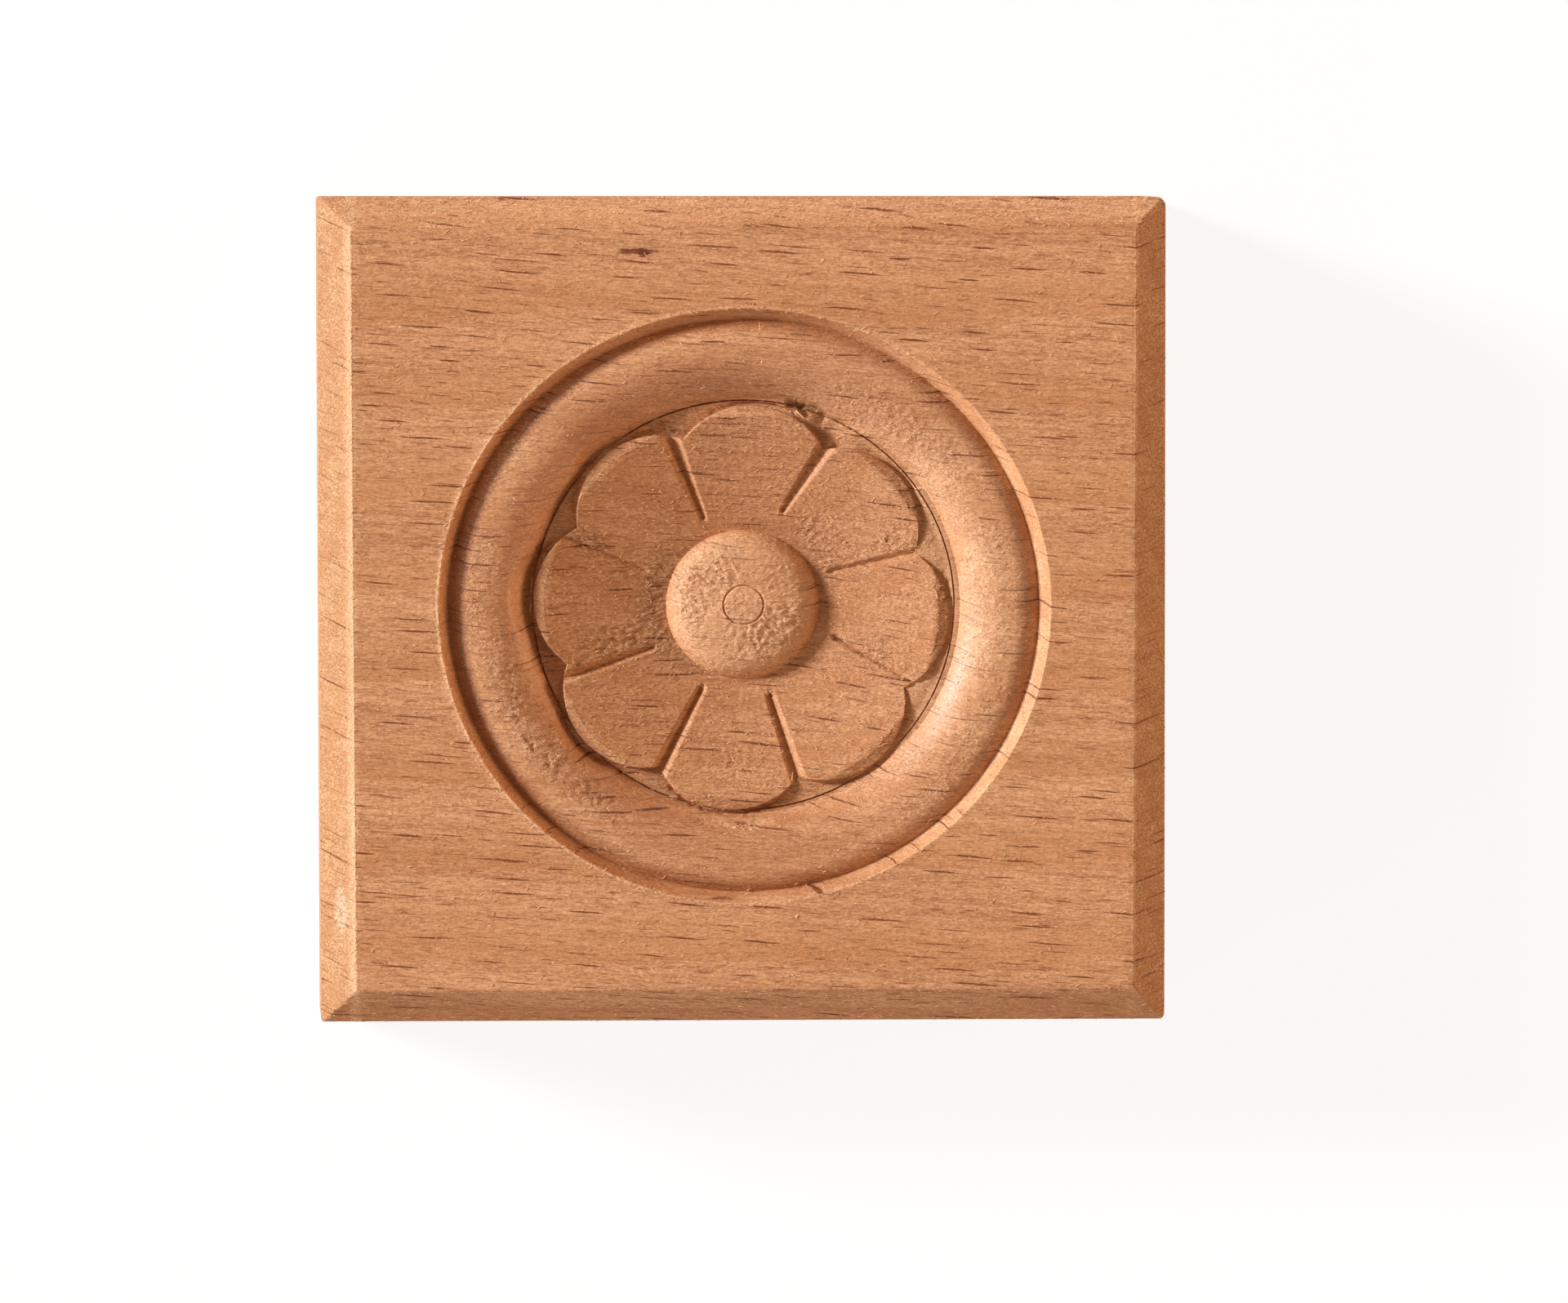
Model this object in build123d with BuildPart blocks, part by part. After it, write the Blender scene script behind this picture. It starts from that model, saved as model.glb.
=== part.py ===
from build123d import *
from math import cos, radians, sin, sqrt
import os

os.makedirs("parts", exist_ok=True)

# Applique rosette: one square block of beech with a flower turned and routed into its face.
# It lies on its flat back, centred on the origin, with Z out of the carved face.
# X runs along the grain and Y across it. All sizes are millimetres.

# Block, as it was sawn
block_side = 85.0
block_thickness = 20.0
bevel_size = 3.25
rubbed_corner_radius = 1.0
crisp_corner_radius = 0.3

# The block is cut square and the relief round, then the wood dries narrower across the grain
across_grain_shrink = 0.972

# The relief stands a little off the middle of the block
relief_offset_x = 0.15
relief_offset_y = 0.4

# Turned ring: widths from the outer arris inwards, depths below the face
arris_radius = 30.6
wall_width = 1.15
groove_depth = 1.65
ring_outer_width = 2.25
ring_flat_width = 0.7
ring_inner_width = 5.3
ring_crest_depth = 0.75
line_depth = 3.6
kerf_width = 0.14
kerf_depth = 0.25

# Flower: a dished disc cut into petals
petal_tip_gap = 0.35
petal_notch_drop = 2.55
rim_width = 1.4
rim_depth = 2.95
rim_fall = 0.25
dish_drop = 2.55
dish_sag = 0.15
flower_turn = -4.3
flower_offset_x = -0.25
flower_offset_y = -0.3

# Pockets between the petals, and the lobes that the cutter leaves in the ring opposite each tip
notch_floor_depth = 3.85
gutter_width = 0.45
gutter_depth = 3.9
lobe_reach_depth = 1.9

# How far each lobe reaches from its petal's edge, anticlockwise from the petal on the right
lobe_reaches = (1.0, 0.9, 0.7, 2.1, 2.1, 1.8, 0.65, 2.1)

# Veins between the petals, a little past the notches, and shallower where they lie near the grain
vein_turn = 2.4
vein_notch_depth = 0.8
grain_vein_notch_depth = 0.45
vein_end_depth = 0.25
vein_boss_gap = 1.8
grain_vein_angle = 30.0

# Boss
boss_radius = 7.7
boss_height = 2.15
boss_shoulder_width = 2.3
boss_crown_drop = 0.45
centre_mark_radius = 2.0
centre_mark_width = 0.26
centre_mark_depth = 0.14

# What is cut away starts this far above the face
cut_clearance = 1.0

# Radii that follow from the widths
groove_radius = arris_radius - wall_width
ring_shoulder_radius = groove_radius - ring_outer_width
ring_crest_radius = ring_shoulder_radius - ring_flat_width
line_radius = ring_crest_radius - ring_inner_width
kerf_inner_radius = line_radius - kerf_width
petal_tip_radius = line_radius - petal_tip_gap
petal_notch_radius = petal_tip_radius - petal_notch_drop
rim_radius = petal_tip_radius - rim_width
boss_crown_radius = boss_radius - boss_shoulder_width
vein_inner_radius = boss_radius + vein_boss_gap

# Depths that follow from the dish
boss_foot_depth = rim_depth + dish_drop
boss_top_depth = boss_foot_depth - boss_height
petal_count = len(lobe_reaches)
petal_step = 360 / petal_count
half_step = radians(petal_step / 2)


# Depth of the straight line from the foot of the boss to the rim, which the dish sags below
def dish_line_depth(radius):
    share = (radius - boss_radius) / (rim_radius - boss_radius)
    return boss_foot_depth - share * dish_drop


# The crown of the boss is an arc that is level at its centre
crown_bend_radius = (boss_crown_radius**2 + boss_crown_drop**2) / (2 * boss_crown_drop)
mark_inner_radius = centre_mark_radius - centre_mark_width / 2
mark_outer_radius = centre_mark_radius + centre_mark_width / 2


def crown_point(radius):
    drop = crown_bend_radius - sqrt(crown_bend_radius**2 - radius**2)
    return Vector(radius, -boss_top_depth - drop)


# Turned profile, from the centre of the boss with its small scored ring, out to the arris
dish_middle_radius = (boss_radius + rim_radius) / 2
mouth_radius = arris_radius + cut_clearance * wall_width / groove_depth
with BuildPart() as turned_cut:
    with BuildSketch(Plane.XZ):
        with BuildLine():
            TangentArc(crown_point(0), crown_point(mark_inner_radius), tangent=(1, 0))
            Polyline(
                crown_point(mark_inner_radius),
                crown_point(centre_mark_radius) - Vector(0, centre_mark_depth),
                crown_point(mark_outer_radius),
            )
            crown = ThreePointArc(
                crown_point(mark_outer_radius),
                crown_point((mark_outer_radius + boss_crown_radius) / 2),
                crown_point(boss_crown_radius),
            )
            TangentArc(crown @ 1, (boss_radius, -boss_foot_depth), tangent=crown % 1)
            ThreePointArc(
                (boss_radius, -boss_foot_depth),
                (dish_middle_radius, -dish_line_depth(dish_middle_radius) - dish_sag),
                (rim_radius, -rim_depth),
            )
            Polyline(
                (rim_radius, -rim_depth),
                (kerf_inner_radius, -rim_depth - rim_fall),
                (kerf_inner_radius, -line_depth),
                (line_radius - kerf_width / 2, -line_depth - kerf_depth),
                (line_radius, -line_depth),
            )
            TangentArc(
                (ring_crest_radius, -ring_crest_depth),
                (line_radius, -line_depth),
                tangent=(-1, 0),
            )
            Line((ring_crest_radius, -ring_crest_depth), (ring_shoulder_radius, -ring_crest_depth))
            TangentArc(
                (ring_shoulder_radius, -ring_crest_depth),
                (groove_radius, -groove_depth),
                tangent=(1, 0),
            )
            Polyline(
                (groove_radius, -groove_depth),
                (mouth_radius, cut_clearance),
                (0, cut_clearance),
                (0, -boss_top_depth),
            )
        make_face()
    revolve(axis=Axis.Z)

# Each petal tip is an arc of one circle, which passes its tip and both of its notches
petal_centre_radius = (petal_tip_radius**2 - petal_notch_radius**2) / (
    2 * (petal_tip_radius - petal_notch_radius * cos(half_step))
)
petal_arc_radius = petal_tip_radius - petal_centre_radius
flower_place = Location((flower_offset_x, flower_offset_y, 0), (0, 0, flower_turn))

# The pocket floor falls from the line to the notches
floor_slope = (notch_floor_depth - line_depth) / (line_radius - petal_notch_radius)
floor_inner_radius = petal_notch_radius * cos(half_step)


def floor_depth(radius):
    return line_depth + floor_slope * (line_radius - radius)


lobe_foot_radius = petal_arc_radius + gutter_width
lobe_height = gutter_depth + cut_clearance

# Routed round the petals: the pocket floor and the lobes, with the flower itself kept out of them
with BuildPart() as petal_cut:
    with BuildSketch(Plane.XZ):
        with BuildLine():
            Polyline(
                (floor_inner_radius, cut_clearance),
                (floor_inner_radius, -floor_depth(floor_inner_radius)),
                (kerf_inner_radius, -floor_depth(kerf_inner_radius)),
                (kerf_inner_radius, cut_clearance),
                close=True,
            )
        make_face()
    revolve(axis=Axis.Z)
    for index, reach in enumerate(lobe_reaches):
        spread = (reach - gutter_width) / (gutter_depth - lobe_reach_depth)
        with Locations(flower_place):
            with PolarLocations(petal_centre_radius, 1, start_angle=index * petal_step):
                with Locations((0, 0, -gutter_depth)):
                    Cone(
                        bottom_radius=lobe_foot_radius,
                        top_radius=lobe_foot_radius + lobe_height * spread,
                        height=lobe_height,
                        align=(Align.CENTER, Align.CENTER, Align.MIN),
                    )
    with BuildSketch():
        with Locations(flower_place):
            Circle(petal_notch_radius)
            with PolarLocations(petal_centre_radius, petal_count):
                Circle(petal_arc_radius)
    extrude(amount=boss_foot_depth, both=True, mode=Mode.SUBTRACT)


# One V-shaped vein along +X, deepest at the notch and shallow but blunt towards the boss
def vein_cut(notch_depth):
    start = Vector(vein_inner_radius, 0, -dish_line_depth(vein_inner_radius) - vein_end_depth)
    end = Vector(petal_notch_radius, 0, -dish_line_depth(petal_notch_radius) - notch_depth)
    mouth = boss_foot_depth
    with BuildPart() as vein:
        with BuildSketch(Plane(origin=start, x_dir=(0, 1, 0), z_dir=end - start)):
            with BuildLine():
                Polyline((0, 0), (mouth, mouth), (-mouth, mouth), close=True)
            make_face()
        extrude(amount=(end - start).length + petal_tip_gap)
    return vein.part


crisp_vein = vein_cut(vein_notch_depth)
grain_vein = vein_cut(grain_vein_notch_depth)

# Everything that is cut away
with BuildPart() as carving:
    add(turned_cut.part)
    add(petal_cut.part)
    for index in range(petal_count):
        vein_angle = (index + 0.5) * petal_step + vein_turn
        rise = abs(sin(radians(vein_angle + flower_turn)))
        near_grain = rise < sin(radians(grain_vein_angle))
        with Locations(flower_place):
            with PolarLocations(0, 1, start_angle=vein_angle):
                add(grain_vein if near_grain else crisp_vein)

dried_carving = scale(carving.part, by=(1, across_grain_shrink, 1))
relief_place = Location((relief_offset_x, relief_offset_y, block_thickness))
block_width = block_side * across_grain_shrink

with BuildPart() as rosette_block:
    Box(block_side, block_width, block_thickness, align=(Align.CENTER, Align.CENTER, Align.MIN))
    chamfer(rosette_block.faces().sort_by(Axis.Z)[-1].edges(), length=bevel_size)
    with BuildSketch():
        outline = Rectangle(block_side, block_width)
        fillet(outline.vertices().group_by(Axis.X)[-1], radius=rubbed_corner_radius)
        fillet(outline.vertices().group_by(Axis.X)[0], radius=crisp_corner_radius)
    extrude(amount=block_thickness, mode=Mode.INTERSECT)
    add(relief_place * dried_carving, mode=Mode.SUBTRACT)

rosette_block.part.label = "rosette_block"
export_step(rosette_block.part, "parts/rosette_block.step")
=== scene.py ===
import math

import bmesh
import bpy
import numpy as np
from mathutils import Matrix, Vector, noise
from mathutils.bvhtree import BVHTree


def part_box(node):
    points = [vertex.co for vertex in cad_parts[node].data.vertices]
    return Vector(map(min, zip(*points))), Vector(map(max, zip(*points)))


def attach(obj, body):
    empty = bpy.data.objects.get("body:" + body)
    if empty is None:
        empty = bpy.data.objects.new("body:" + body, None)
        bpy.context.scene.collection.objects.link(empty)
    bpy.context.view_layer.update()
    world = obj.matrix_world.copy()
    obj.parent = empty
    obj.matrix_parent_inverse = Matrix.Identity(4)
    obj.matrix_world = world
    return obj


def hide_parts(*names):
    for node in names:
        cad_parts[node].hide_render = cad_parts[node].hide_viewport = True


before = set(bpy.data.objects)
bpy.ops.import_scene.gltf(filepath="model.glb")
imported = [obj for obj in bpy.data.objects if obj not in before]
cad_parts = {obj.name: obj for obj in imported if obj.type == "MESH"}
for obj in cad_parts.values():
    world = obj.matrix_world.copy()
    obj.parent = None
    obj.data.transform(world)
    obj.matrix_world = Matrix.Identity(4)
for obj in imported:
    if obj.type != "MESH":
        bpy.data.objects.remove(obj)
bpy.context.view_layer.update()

# A square block of beech with a flower carved into its face, lying on its flat back.
# X runs along the grain. Sizes in the dictionaries are millimetres, and the meshes are metres.

mm = 0.001
blockLow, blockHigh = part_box("rosette_block")
print("frame loaded, block", [round(v, 5) for v in blockHigh - blockLow])


# Dictionaries that share their keys
def rows(keys, *values):
    return [dict(zip(keys, row)) for row in values]


def newMesh(name, places, faces):
    mesh = bpy.data.meshes.new(name)
    mesh.from_pydata(places, [], faces)
    return mesh


def addObject(name, data):
    item = bpy.data.objects.new(name, data)
    bpy.context.scene.collection.objects.link(item)
    return item


block = {
    "halfX": blockHigh.x / mm,
    "halfY": blockHigh.y / mm,
    "thickness": blockHigh.z / mm,
    "skin": 0.05,  # the wood stops this far inside the box, which leaves room for its fibres
    "faceSkin": 0.12,
    "faceEdgeRound": 0.14,
    "mitreRound": 0.12,
    "backEdgeRound": 0.2,
    "shrink": 0.972,  # the wood is narrower across the grain, and so is the turned relief
    "reliefX": 0.15,
    "reliefY": 0.4,
    "lean": 0.28,  # the left side leans in by this at the lower corner
    "bevelRagged": 0.07,  # the plane of each bevel is as rough as this
    "bevelRaggedScale": 1.3,
    "raggedFrom": -0.3,  # which starts this far inside the bevel's edge
    "sideBlend": 0.01,
}

# Corners anticlockwise from the lower left: which way they lie, bevel widths, and their own rounding
corners = rows(
    ("x", "y", "bevelX", "bevelY", "round"),
    (-1, -1, 3.45, 3.3, 0.3),
    (1, -1, 3.38, 3.3, 0.6),
    (1, 1, 3.13, 2.85, 1.0),
    (-1, 1, 3.25, 3.14, 0.35),
)

turning = {
    "mark": 2.0,
    "markWidth": 0.34,
    "markDepth": 0.2,
    "crown": 5.4,
    "crownDrop": 0.45,
    "bossTopDepth": 3.3,
    "boss": 7.7,
    "bossFootDepth": 5.4,
    "dishSag": 0.15,
    "rim": 19.7,
    "rimDepth": 2.5,
    "rimDrop": 0.4,  # from the crease to the kerf
    "kerfWidth": 0.2,
    "kerfDepth": 0.4,
    "line": 21.2,
    "lineDepth": 3.6,
    "crest": 26.3,
    "crestDepth": 0.75,
    "shoulder": 27.1,
    "groove": 29.45,
    "grooveDepth": 1.65,
    "arris": 30.6,
    "arrisRound": 0.1,
    "wallBend": 0.4,  # the wall steepens towards the arris
}

flower = {
    "x": -0.25,
    "y": -0.3,
    "turn": -4.3,
    "petals": 8,
    "tip": 20.85,
    "notch": 18.3,
    "edgeRound": 0.1,
    "veinOverrun": 1.2,  # a vein goes on deepening until this share of its length
    "veinRunIn": 2,  # and rises this steeply before its inner end
    "notchFloorDepth": 3.85,
    "gutterWidth": 0.45,
    "gutterDepth": 3.9,
    "rightLift": 0.9,  # the pockets are this much shallower on the right
    "liftAtLine": 0.75,  # the share of that which is left at the kerf
    "deepPocket": {"angle": 65, "spread": 7, "depth": 0.7},  # the one beside the top petal
    "lobeReachDepth": 1.9,
    "lobeReach": (1.0, 0.9, 0.7, 2.1, 2.1, 1.8, 0.65, 2.1),  # anticlockwise from the right petal
}

# Each vein runs from its inner to its outer end, both a radius and an angle from the flower's centre
veins = rows(
    ("inner", "outer", "innerDepth", "outerDepth"),
    ((9.7, 22.0), (17.6, 18.3), 0.36, 0.55),
    ((10.8, 66.8), (17.9, 63.2), 0.4, 0.85),
    ((9.8, 111.9), (18.5, 111.9), 0.45, 0.9),
    ((10.2, 158.1), (18.0, 157.6), 0.32, 0.5),
    ((9.6, 205.3), (18.2, 202.2), 0.42, 0.65),
    ((9.1, 245.2), (18.5, 243.9), 0.55, 0.85),
    ((9.5, 288.2), (18.5, 288.0), 0.55, 0.8),
    ((9.8, 342.5), (17.5, 336.5), 0.45, 0.3),
)

# The block's mesh: rings of points, at these shares of the way from one edge to the next
grid = {
    "columns": 736,  # round the block, a multiple of 16 so that tips and notches fall on columns
    "cornerPull": 0.55,  # how much the columns crowd towards the corners
    "sharpAngle": 38,
    "veinStart": 9.0,
    "crownRings": 18,
    "shoulderRings": 12,
    "dishRings": 30,
    "hollowRings": 22,
    "petalEdge": 0.93,  # the share of the outline's radius where the rings crowd towards its edge
    "petalEdgeRings": (0.3, 0.6, 0.8, 0.9, 0.95, 0.98, 1),
    "wallFoot": 0.05,  # how far the petals' walls lean out
    "pocketRings": (0, 0.15, 0.4, 0.7, 1),
    "wallRings": (0.15, 0.4, 0.65, 0.85, 0.95, 1),
    "burrSteps": (0.07, 0.17, 0.32),  # beyond the arris
    "faceRings": (0.06, 0.12, 0.25, 0.4, 0.55, 0.7, 0.84, 0.94, 0.985),
    "bevelRings": (0, 0.03, 0.09, 0.25, 0.45, 0.65, 0.85, 0.96, 1),
    "sideRings": (0.03, 0.2, 0.4, 0.6, 0.8, 0.95),
    "backRings": ((0.9, 2), (0.6, 4), (0.3, 8)),  # share of the way out, and every which column
    "backRound": 0.3,  # the back edge's rounding bulges by this share
}

petalStep = 2 * math.pi / flower["petals"]
petalCentre = (flower["tip"] ** 2 - flower["notch"] ** 2) / (
    2 * (flower["tip"] - flower["notch"] * math.cos(petalStep / 2)))
petalRadius = flower["tip"] - petalCentre


def polar(radius, angle):
    return np.stack([radius * np.cos(angle), radius * np.sin(angle)], -1)


def reachOf(points):
    return np.hypot(points[:, 0], points[:, 1])


def bearingOf(points):
    return np.arctan2(points[:, 1], points[:, 0])


# Depth along an arc that starts level
def levelArc(radius, startRadius, startDepth, endRadius, endDepth):
    run = abs(endRadius - startRadius)
    drop = endDepth - startDepth
    bend = (run**2 + drop**2) / (2 * drop)
    across = np.clip(np.abs(radius - startRadius), 0, run)
    return startDepth + bend - np.sqrt(bend**2 - across**2)


# The boss falls from the end of its crown to its foot on an arc that carries the crown on
def bossShoulder(radius):
    t = turning
    crownBend = (t["crown"] ** 2 + t["crownDrop"] ** 2) / (2 * t["crownDrop"])
    tilt = math.asin(t["crown"] / crownBend)
    run = t["boss"] - t["crown"]
    drop = t["bossFootDepth"] - t["bossTopDepth"] - t["crownDrop"]
    bend = (run**2 + drop**2) / (2 * (drop * math.cos(tilt) - run * math.sin(tilt)))
    middle = t["crown"] - bend * math.sin(tilt)
    depthAtMiddle = t["bossTopDepth"] + t["crownDrop"] + bend * math.cos(tilt)
    return depthAtMiddle - np.sqrt(bend**2 - np.clip(radius - middle, 0, run + t["crown"] - middle) ** 2)


def layeredNoise(places, scale, stretch=(1, 1, 1)):
    k = np.array(stretch) * scale
    return np.array([noise.noise(Vector(p)) for p in places * k])


def smoothMax(a, b, width):
    overlap = np.clip(width - np.abs(a - b), 0, None) / width
    return np.maximum(a, b) + overlap**2 * width / 4


# Everything that was turned, as a depth below the face
def turnedDepth(radius):
    t = turning
    crownFoot = t["bossTopDepth"] + t["crownDrop"]
    crown = levelArc(radius, 0, t["bossTopDepth"], t["crown"], crownFoot)
    crown = crown + t["markDepth"] * np.clip(1 - np.abs(radius - t["mark"]) * 2 / t["markWidth"], 0, 1)
    share = np.clip((radius - t["boss"]) / (t["rim"] - t["boss"]), 0, 1)
    dish = t["bossFootDepth"] - share * (t["bossFootDepth"] - t["rimDepth"])
    dish = dish + 4 * t["dishSag"] * share * (1 - share)
    kerfMiddle = t["line"] - t["kerfWidth"] / 2
    kerf = t["lineDepth"] + t["kerfDepth"] * (1 - np.abs(radius - kerfMiddle) * 2 / t["kerfWidth"])
    inner = levelArc(radius, t["crest"], t["crestDepth"], t["line"], t["lineDepth"])
    outer = levelArc(radius, t["shoulder"], t["crestDepth"], t["groove"], t["grooveDepth"])
    up = np.clip((radius - t["groove"]) / (t["arris"] - t["groove"]), 0, None)
    wall = t["grooveDepth"] * (1 - t["wallBend"] * up**2 - (1 - t["wallBend"]) * up)
    wall = smoothMax(wall, np.zeros_like(wall), t["arrisRound"])
    ends = ("crown", "boss", "rim", "kerf", "line", "crest", "shoulder", "groove")
    limits = dict(t, kerf=t["line"] - t["kerfWidth"])
    beyond = (radius - t["rim"]) / (t["line"] - t["rim"])
    rim = t["rimDepth"] + t["rimDrop"] * np.clip(beyond, 0, 1)
    crest = np.full_like(radius, t["crestDepth"])
    parts = [crown, bossShoulder(radius), dish, rim, kerf, inner, crest, outer]
    return np.select([radius < limits[name] for name in ends], parts, wall)


def petalOutline(angle):
    off = angle - math.radians(flower["turn"])
    off = off - np.round(off / petalStep) * petalStep
    return petalCentre * np.cos(off) + np.sqrt(petalRadius**2 - (petalCentre * np.sin(off)) ** 2)


# The petals' side of the outline: the turned dish with its veins
def petalDepth(points):
    # the boss stands in the middle of the ring, and the petals' rim in the middle of the flower
    share = (reachOf(points) - turning["boss"]) / (turning["rim"] - turning["boss"])
    shifted = points - np.clip(share, 0, 1)[:, None] * (flower["x"], flower["y"])
    depth = turnedDepth(reachOf(shifted))
    fromFlower = points - (flower["x"], flower["y"])
    deepest = np.zeros(len(points))
    for vein in veins:
        start, end = (polar(radius, math.radians(angle)) for radius, angle in (vein["inner"], vein["outer"]))
        length = np.linalg.norm(end - start)
        heading = (end - start) / length
        along = (fromFlower - start) @ heading
        aside = np.abs((fromFlower - start) @ np.array((-heading[1], heading[0])))
        share = np.clip(along / length, 0, flower["veinOverrun"])
        cut = vein["innerDepth"] + (vein["outerDepth"] - vein["innerDepth"]) * share
        deepest = np.maximum(deepest, cut - aside - np.clip(-along, 0, None) * flower["veinRunIn"])
    fromEdge = petalOutline(bearingOf(fromFlower)) - reachOf(fromFlower)
    rounding = np.clip(1 - fromEdge / flower["edgeRound"], 0, 1)
    return depth + deepest + flower["edgeRound"] * (1 - np.sqrt(1 - rounding**2))


# The other side of the outline: pocket floor, gutter and lobes in the turned ring
def pocketDepth(points):
    f, t = flower, turning
    radius = reachOf(points)
    slope = (f["notchFloorDepth"] - t["lineDepth"]) / (t["line"] - f["notch"])
    lift = f["rightLift"] * (0.5 + 0.5 * points[:, 0] / radius)
    deep = f["deepPocket"]
    around = np.degrees(bearingOf(points)) - deep["angle"]
    lift = lift - deep["depth"] * np.exp(-(around / deep["spread"]) ** 2)
    lift = lift * np.clip((t["line"] - radius) / (t["line"] - f["notch"]) * 2, f["liftAtLine"], 1)
    floor = t["lineDepth"] + slope * (t["line"] - radius) - lift
    fromKerf = np.abs(radius - t["line"] + t["kerfWidth"] / 2) * 2 / t["kerfWidth"]
    shelf = t["lineDepth"] - lift + t["kerfDepth"] * np.clip(1 - fromKerf, 0, 1)
    turned = turnedDepth(radius)
    inPocket = radius < t["line"] - t["kerfWidth"]
    depth = np.where(inPocket, np.maximum(turned, floor), np.minimum(turned, shelf))
    for index, reach in enumerate(f["lobeReach"]):
        angle = math.radians(f["turn"]) + index * petalStep
        middle = polar(petalCentre, angle) + (f["x"], f["y"])
        away = reachOf(points - middle) - petalRadius - f["gutterWidth"]
        rise = (f["gutterDepth"] - f["lobeReachDepth"]) / (reach - f["gutterWidth"])
        depth = np.maximum(depth, f["gutterDepth"] - lift - rise * np.clip(away, 0, None))
    return depth


# From the round space of the turning to the block, which shrank across the grain
def toBlock(points):
    return points * (1, block["shrink"]) + (block["reliefX"], block["reliefY"])


def fromBlock(points):
    return (points - (block["reliefX"], block["reliefY"])) / (1, block["shrink"])


halfX = block["halfX"] - block["skin"]
halfY = block["halfY"] - block["skin"]
faceHeight = block["thickness"] - block["faceSkin"]
outerCorners = np.array([(c["x"] * halfX, c["y"] * halfY) for c in corners])
outerCorners[0, 0] += block["lean"]
innerCorners = np.array([
    (outer[0] - c["x"] * c["bevelX"], outer[1] - c["y"] * c["bevelY"])
    for outer, c in zip(outerCorners, corners)])


# How far the bevels have dropped below the face
def bevelDrop(points):
    drops = []
    for start, end in zip(innerCorners, np.roll(innerCorners, -1, axis=0)):
        heading = (end - start) / np.linalg.norm(end - start)
        drops.append((points - start) @ np.array((heading[1], -heading[0])))
    alongX = smoothMax(drops[0], drops[2], block["sideBlend"])
    alongY = smoothMax(drops[1], drops[3], block["sideBlend"])
    steepest = smoothMax(alongX, alongY, block["mitreRound"])
    flat = np.concatenate([points, np.zeros((len(points), 1))], axis=1)
    ragged = layeredNoise(flat, block["bevelRaggedScale"]) * block["bevelRagged"]
    steepest = steepest + np.where(steepest > block["raggedFrom"], ragged, 0)
    return smoothMax(steepest, np.zeros(len(points)), block["faceEdgeRound"])


# Columns run out from the centre of the turning, and four of them end in the block's corners
angles = math.radians(flower["turn"]) + np.arange(grid["columns"]) * 2 * math.pi / grid["columns"]
cornerAngles = [math.atan2(y, x) for x, y in fromBlock(outerCorners)]
cornerColumns = [
    round((angle - angles[0]) / (2 * math.pi) * grid["columns"]) % grid["columns"] for angle in cornerAngles]


def edgeRing(ends):
    ring = np.zeros((grid["columns"], 2))
    for side in range(4):
        first = cornerColumns[side]
        count = (cornerColumns[(side + 1) % 4] - first) % grid["columns"]
        share = np.arange(count) / count
        share = share - grid["cornerPull"] * np.sin(2 * math.pi * share) / (2 * math.pi)
        places = ends[side] + share[:, None] * (ends[(side + 1) % 4] - ends[side])
        ring[(first + np.arange(count)) % grid["columns"]] = places
    return ring


def roundedRing():
    ring = edgeRing(outerCorners)
    for outer, c in zip(outerCorners, corners):
        middle = outer - np.array((c["x"], c["y"])) * c["round"]
        away = ring - middle
        beyond = (away[:, 0] * c["x"] > 0) & (away[:, 1] * c["y"] > 0)
        away[beyond] *= (c["round"] / np.linalg.norm(away[beyond], axis=1))[:, None]
        ring = np.where(beyond[:, None], middle + away, ring)
    return ring


def circleRing(radius, step=1):
    return toBlock(polar(radius, angles[::step]))


def flowerRing(radius):
    return toBlock(polar(radius, angles) + (flower["x"], flower["y"]))


rings = []  # one entry for each ring of vertices: places, heights


def addRings(start, end, shares, depthOf):
    for share in shares:
        places = start + (end - start) * share
        rings.append((places, faceHeight - depthOf(fromBlock(places))))


def evenly(count, end=1.0):
    return end * (np.arange(count) + 1) / count


def turnedPoints(points):
    return turnedDepth(reachOf(points))


t = turning
markStart, markEnd = t["mark"] - t["markWidth"] / 2, t["mark"] + t["markWidth"] / 2
for start, end, step, shares in (
        (0, markStart, 4, evenly(6)), (t["mark"], markEnd, 4, (0, 1)),
        (markEnd, t["crown"], 2, evenly(grid["crownRings"])),
        (t["crown"], t["boss"], 2, evenly(grid["shoulderRings"]))):
    addRings(circleRing(start, step), circleRing(end, step), shares, turnedPoints)

veinStart, petalEdge = grid["veinStart"], grid["petalEdge"]
outline = petalOutline(angles)
outlineRing = flowerRing(outline)
addRings(circleRing(t["boss"]), flowerRing(veinStart), evenly(5), petalDepth)
addRings(flowerRing(veinStart), outlineRing, evenly(grid["dishRings"], petalEdge), petalDepth)
addRings(flowerRing(outline * petalEdge), outlineRing, grid["petalEdgeRings"], petalDepth)

wallFoot = flowerRing(outline + grid["wallFoot"])
kerfRing = circleRing(t["line"] - t["kerfWidth"])
addRings(wallFoot, kerfRing, grid["pocketRings"], pocketDepth)
addRings(kerfRing, circleRing(t["line"]), evenly(2), pocketDepth)
for start, end, shares, depthOf in (
        ("line", "crest", evenly(grid["hollowRings"]), pocketDepth),
        ("crest", "shoulder", evenly(2), pocketDepth),
        ("shoulder", "groove", evenly(8), turnedPoints),
        ("groove", "arris", grid["wallRings"], turnedPoints)):
    addRings(circleRing(t[start]), circleRing(t[end]), shares, depthOf)

innerRing = edgeRing(innerCorners)
outerRing = roundedRing()
arrisRing = circleRing(t["arris"])


def addBevelled(places):
    rings.append((places, faceHeight - bevelDrop(places)))


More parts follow.
